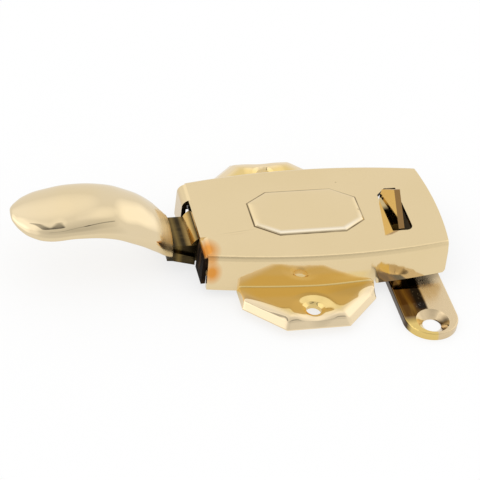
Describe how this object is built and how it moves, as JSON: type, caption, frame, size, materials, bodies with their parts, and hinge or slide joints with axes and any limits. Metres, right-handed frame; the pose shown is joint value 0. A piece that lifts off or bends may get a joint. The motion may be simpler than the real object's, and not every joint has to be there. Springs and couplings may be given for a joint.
{
  "type": "cabinet catch",
  "caption": "Surface-mounted cabinet catch in polished brass: folded case with two screw ears, domed lever handle, sliding bolt and a strike bar with an upright tooth",
  "frame": {"origin": "midway between the two ear screw holes, on the mounting face", "axes": "+X from the lever handle to the strike, +Y across the case towards the ear farther from the strike's screw end, +Z out of the door"},
  "size_m": [0.0959, 0.0621, 0.0176],
  "materials": {
    "polished_brass": "mirror-polished sheet under clear lacquer",
    "cast_brass": "polished casting",
    "bolt_brass": "dull unpolished brass",
    "steel": "plain drawn wire"
  },
  "bodies": {
    "body": {"case": "polished_brass", "pivot_pin": "steel", "braze_beads": "bolt_brass", "rear_guide": "bolt_brass", "front_guide": "bolt_brass", "return_spring": "steel", "strike": "cast_brass"},
    "lever_body": {"lever": "cast_brass"},
    "bolt_body": {"bolt": "bolt_brass"}
  },
  "joints": [
    {"name": "lever_hinge", "type": "hinge", "parent": "body", "child": "lever_body", "pos_m": [-0.0203, 0, 0.0041], "axis": [0, 1, 0], "range_deg": [0, 35], "stiffness_Nm_per_rad": 0.05, "springref_deg": -17.19},
    {"name": "bolt_slide", "type": "slide", "parent": "body", "child": "bolt_body", "axis": [-1, 0, 0], "range_m": [0, 0.00184], "deforming": ["return_spring"]}
  ],
  "couplings": [
    {"joint": "bolt_slide", "follows": "lever_hinge", "m_per_rad": 0.003}
  ]
}
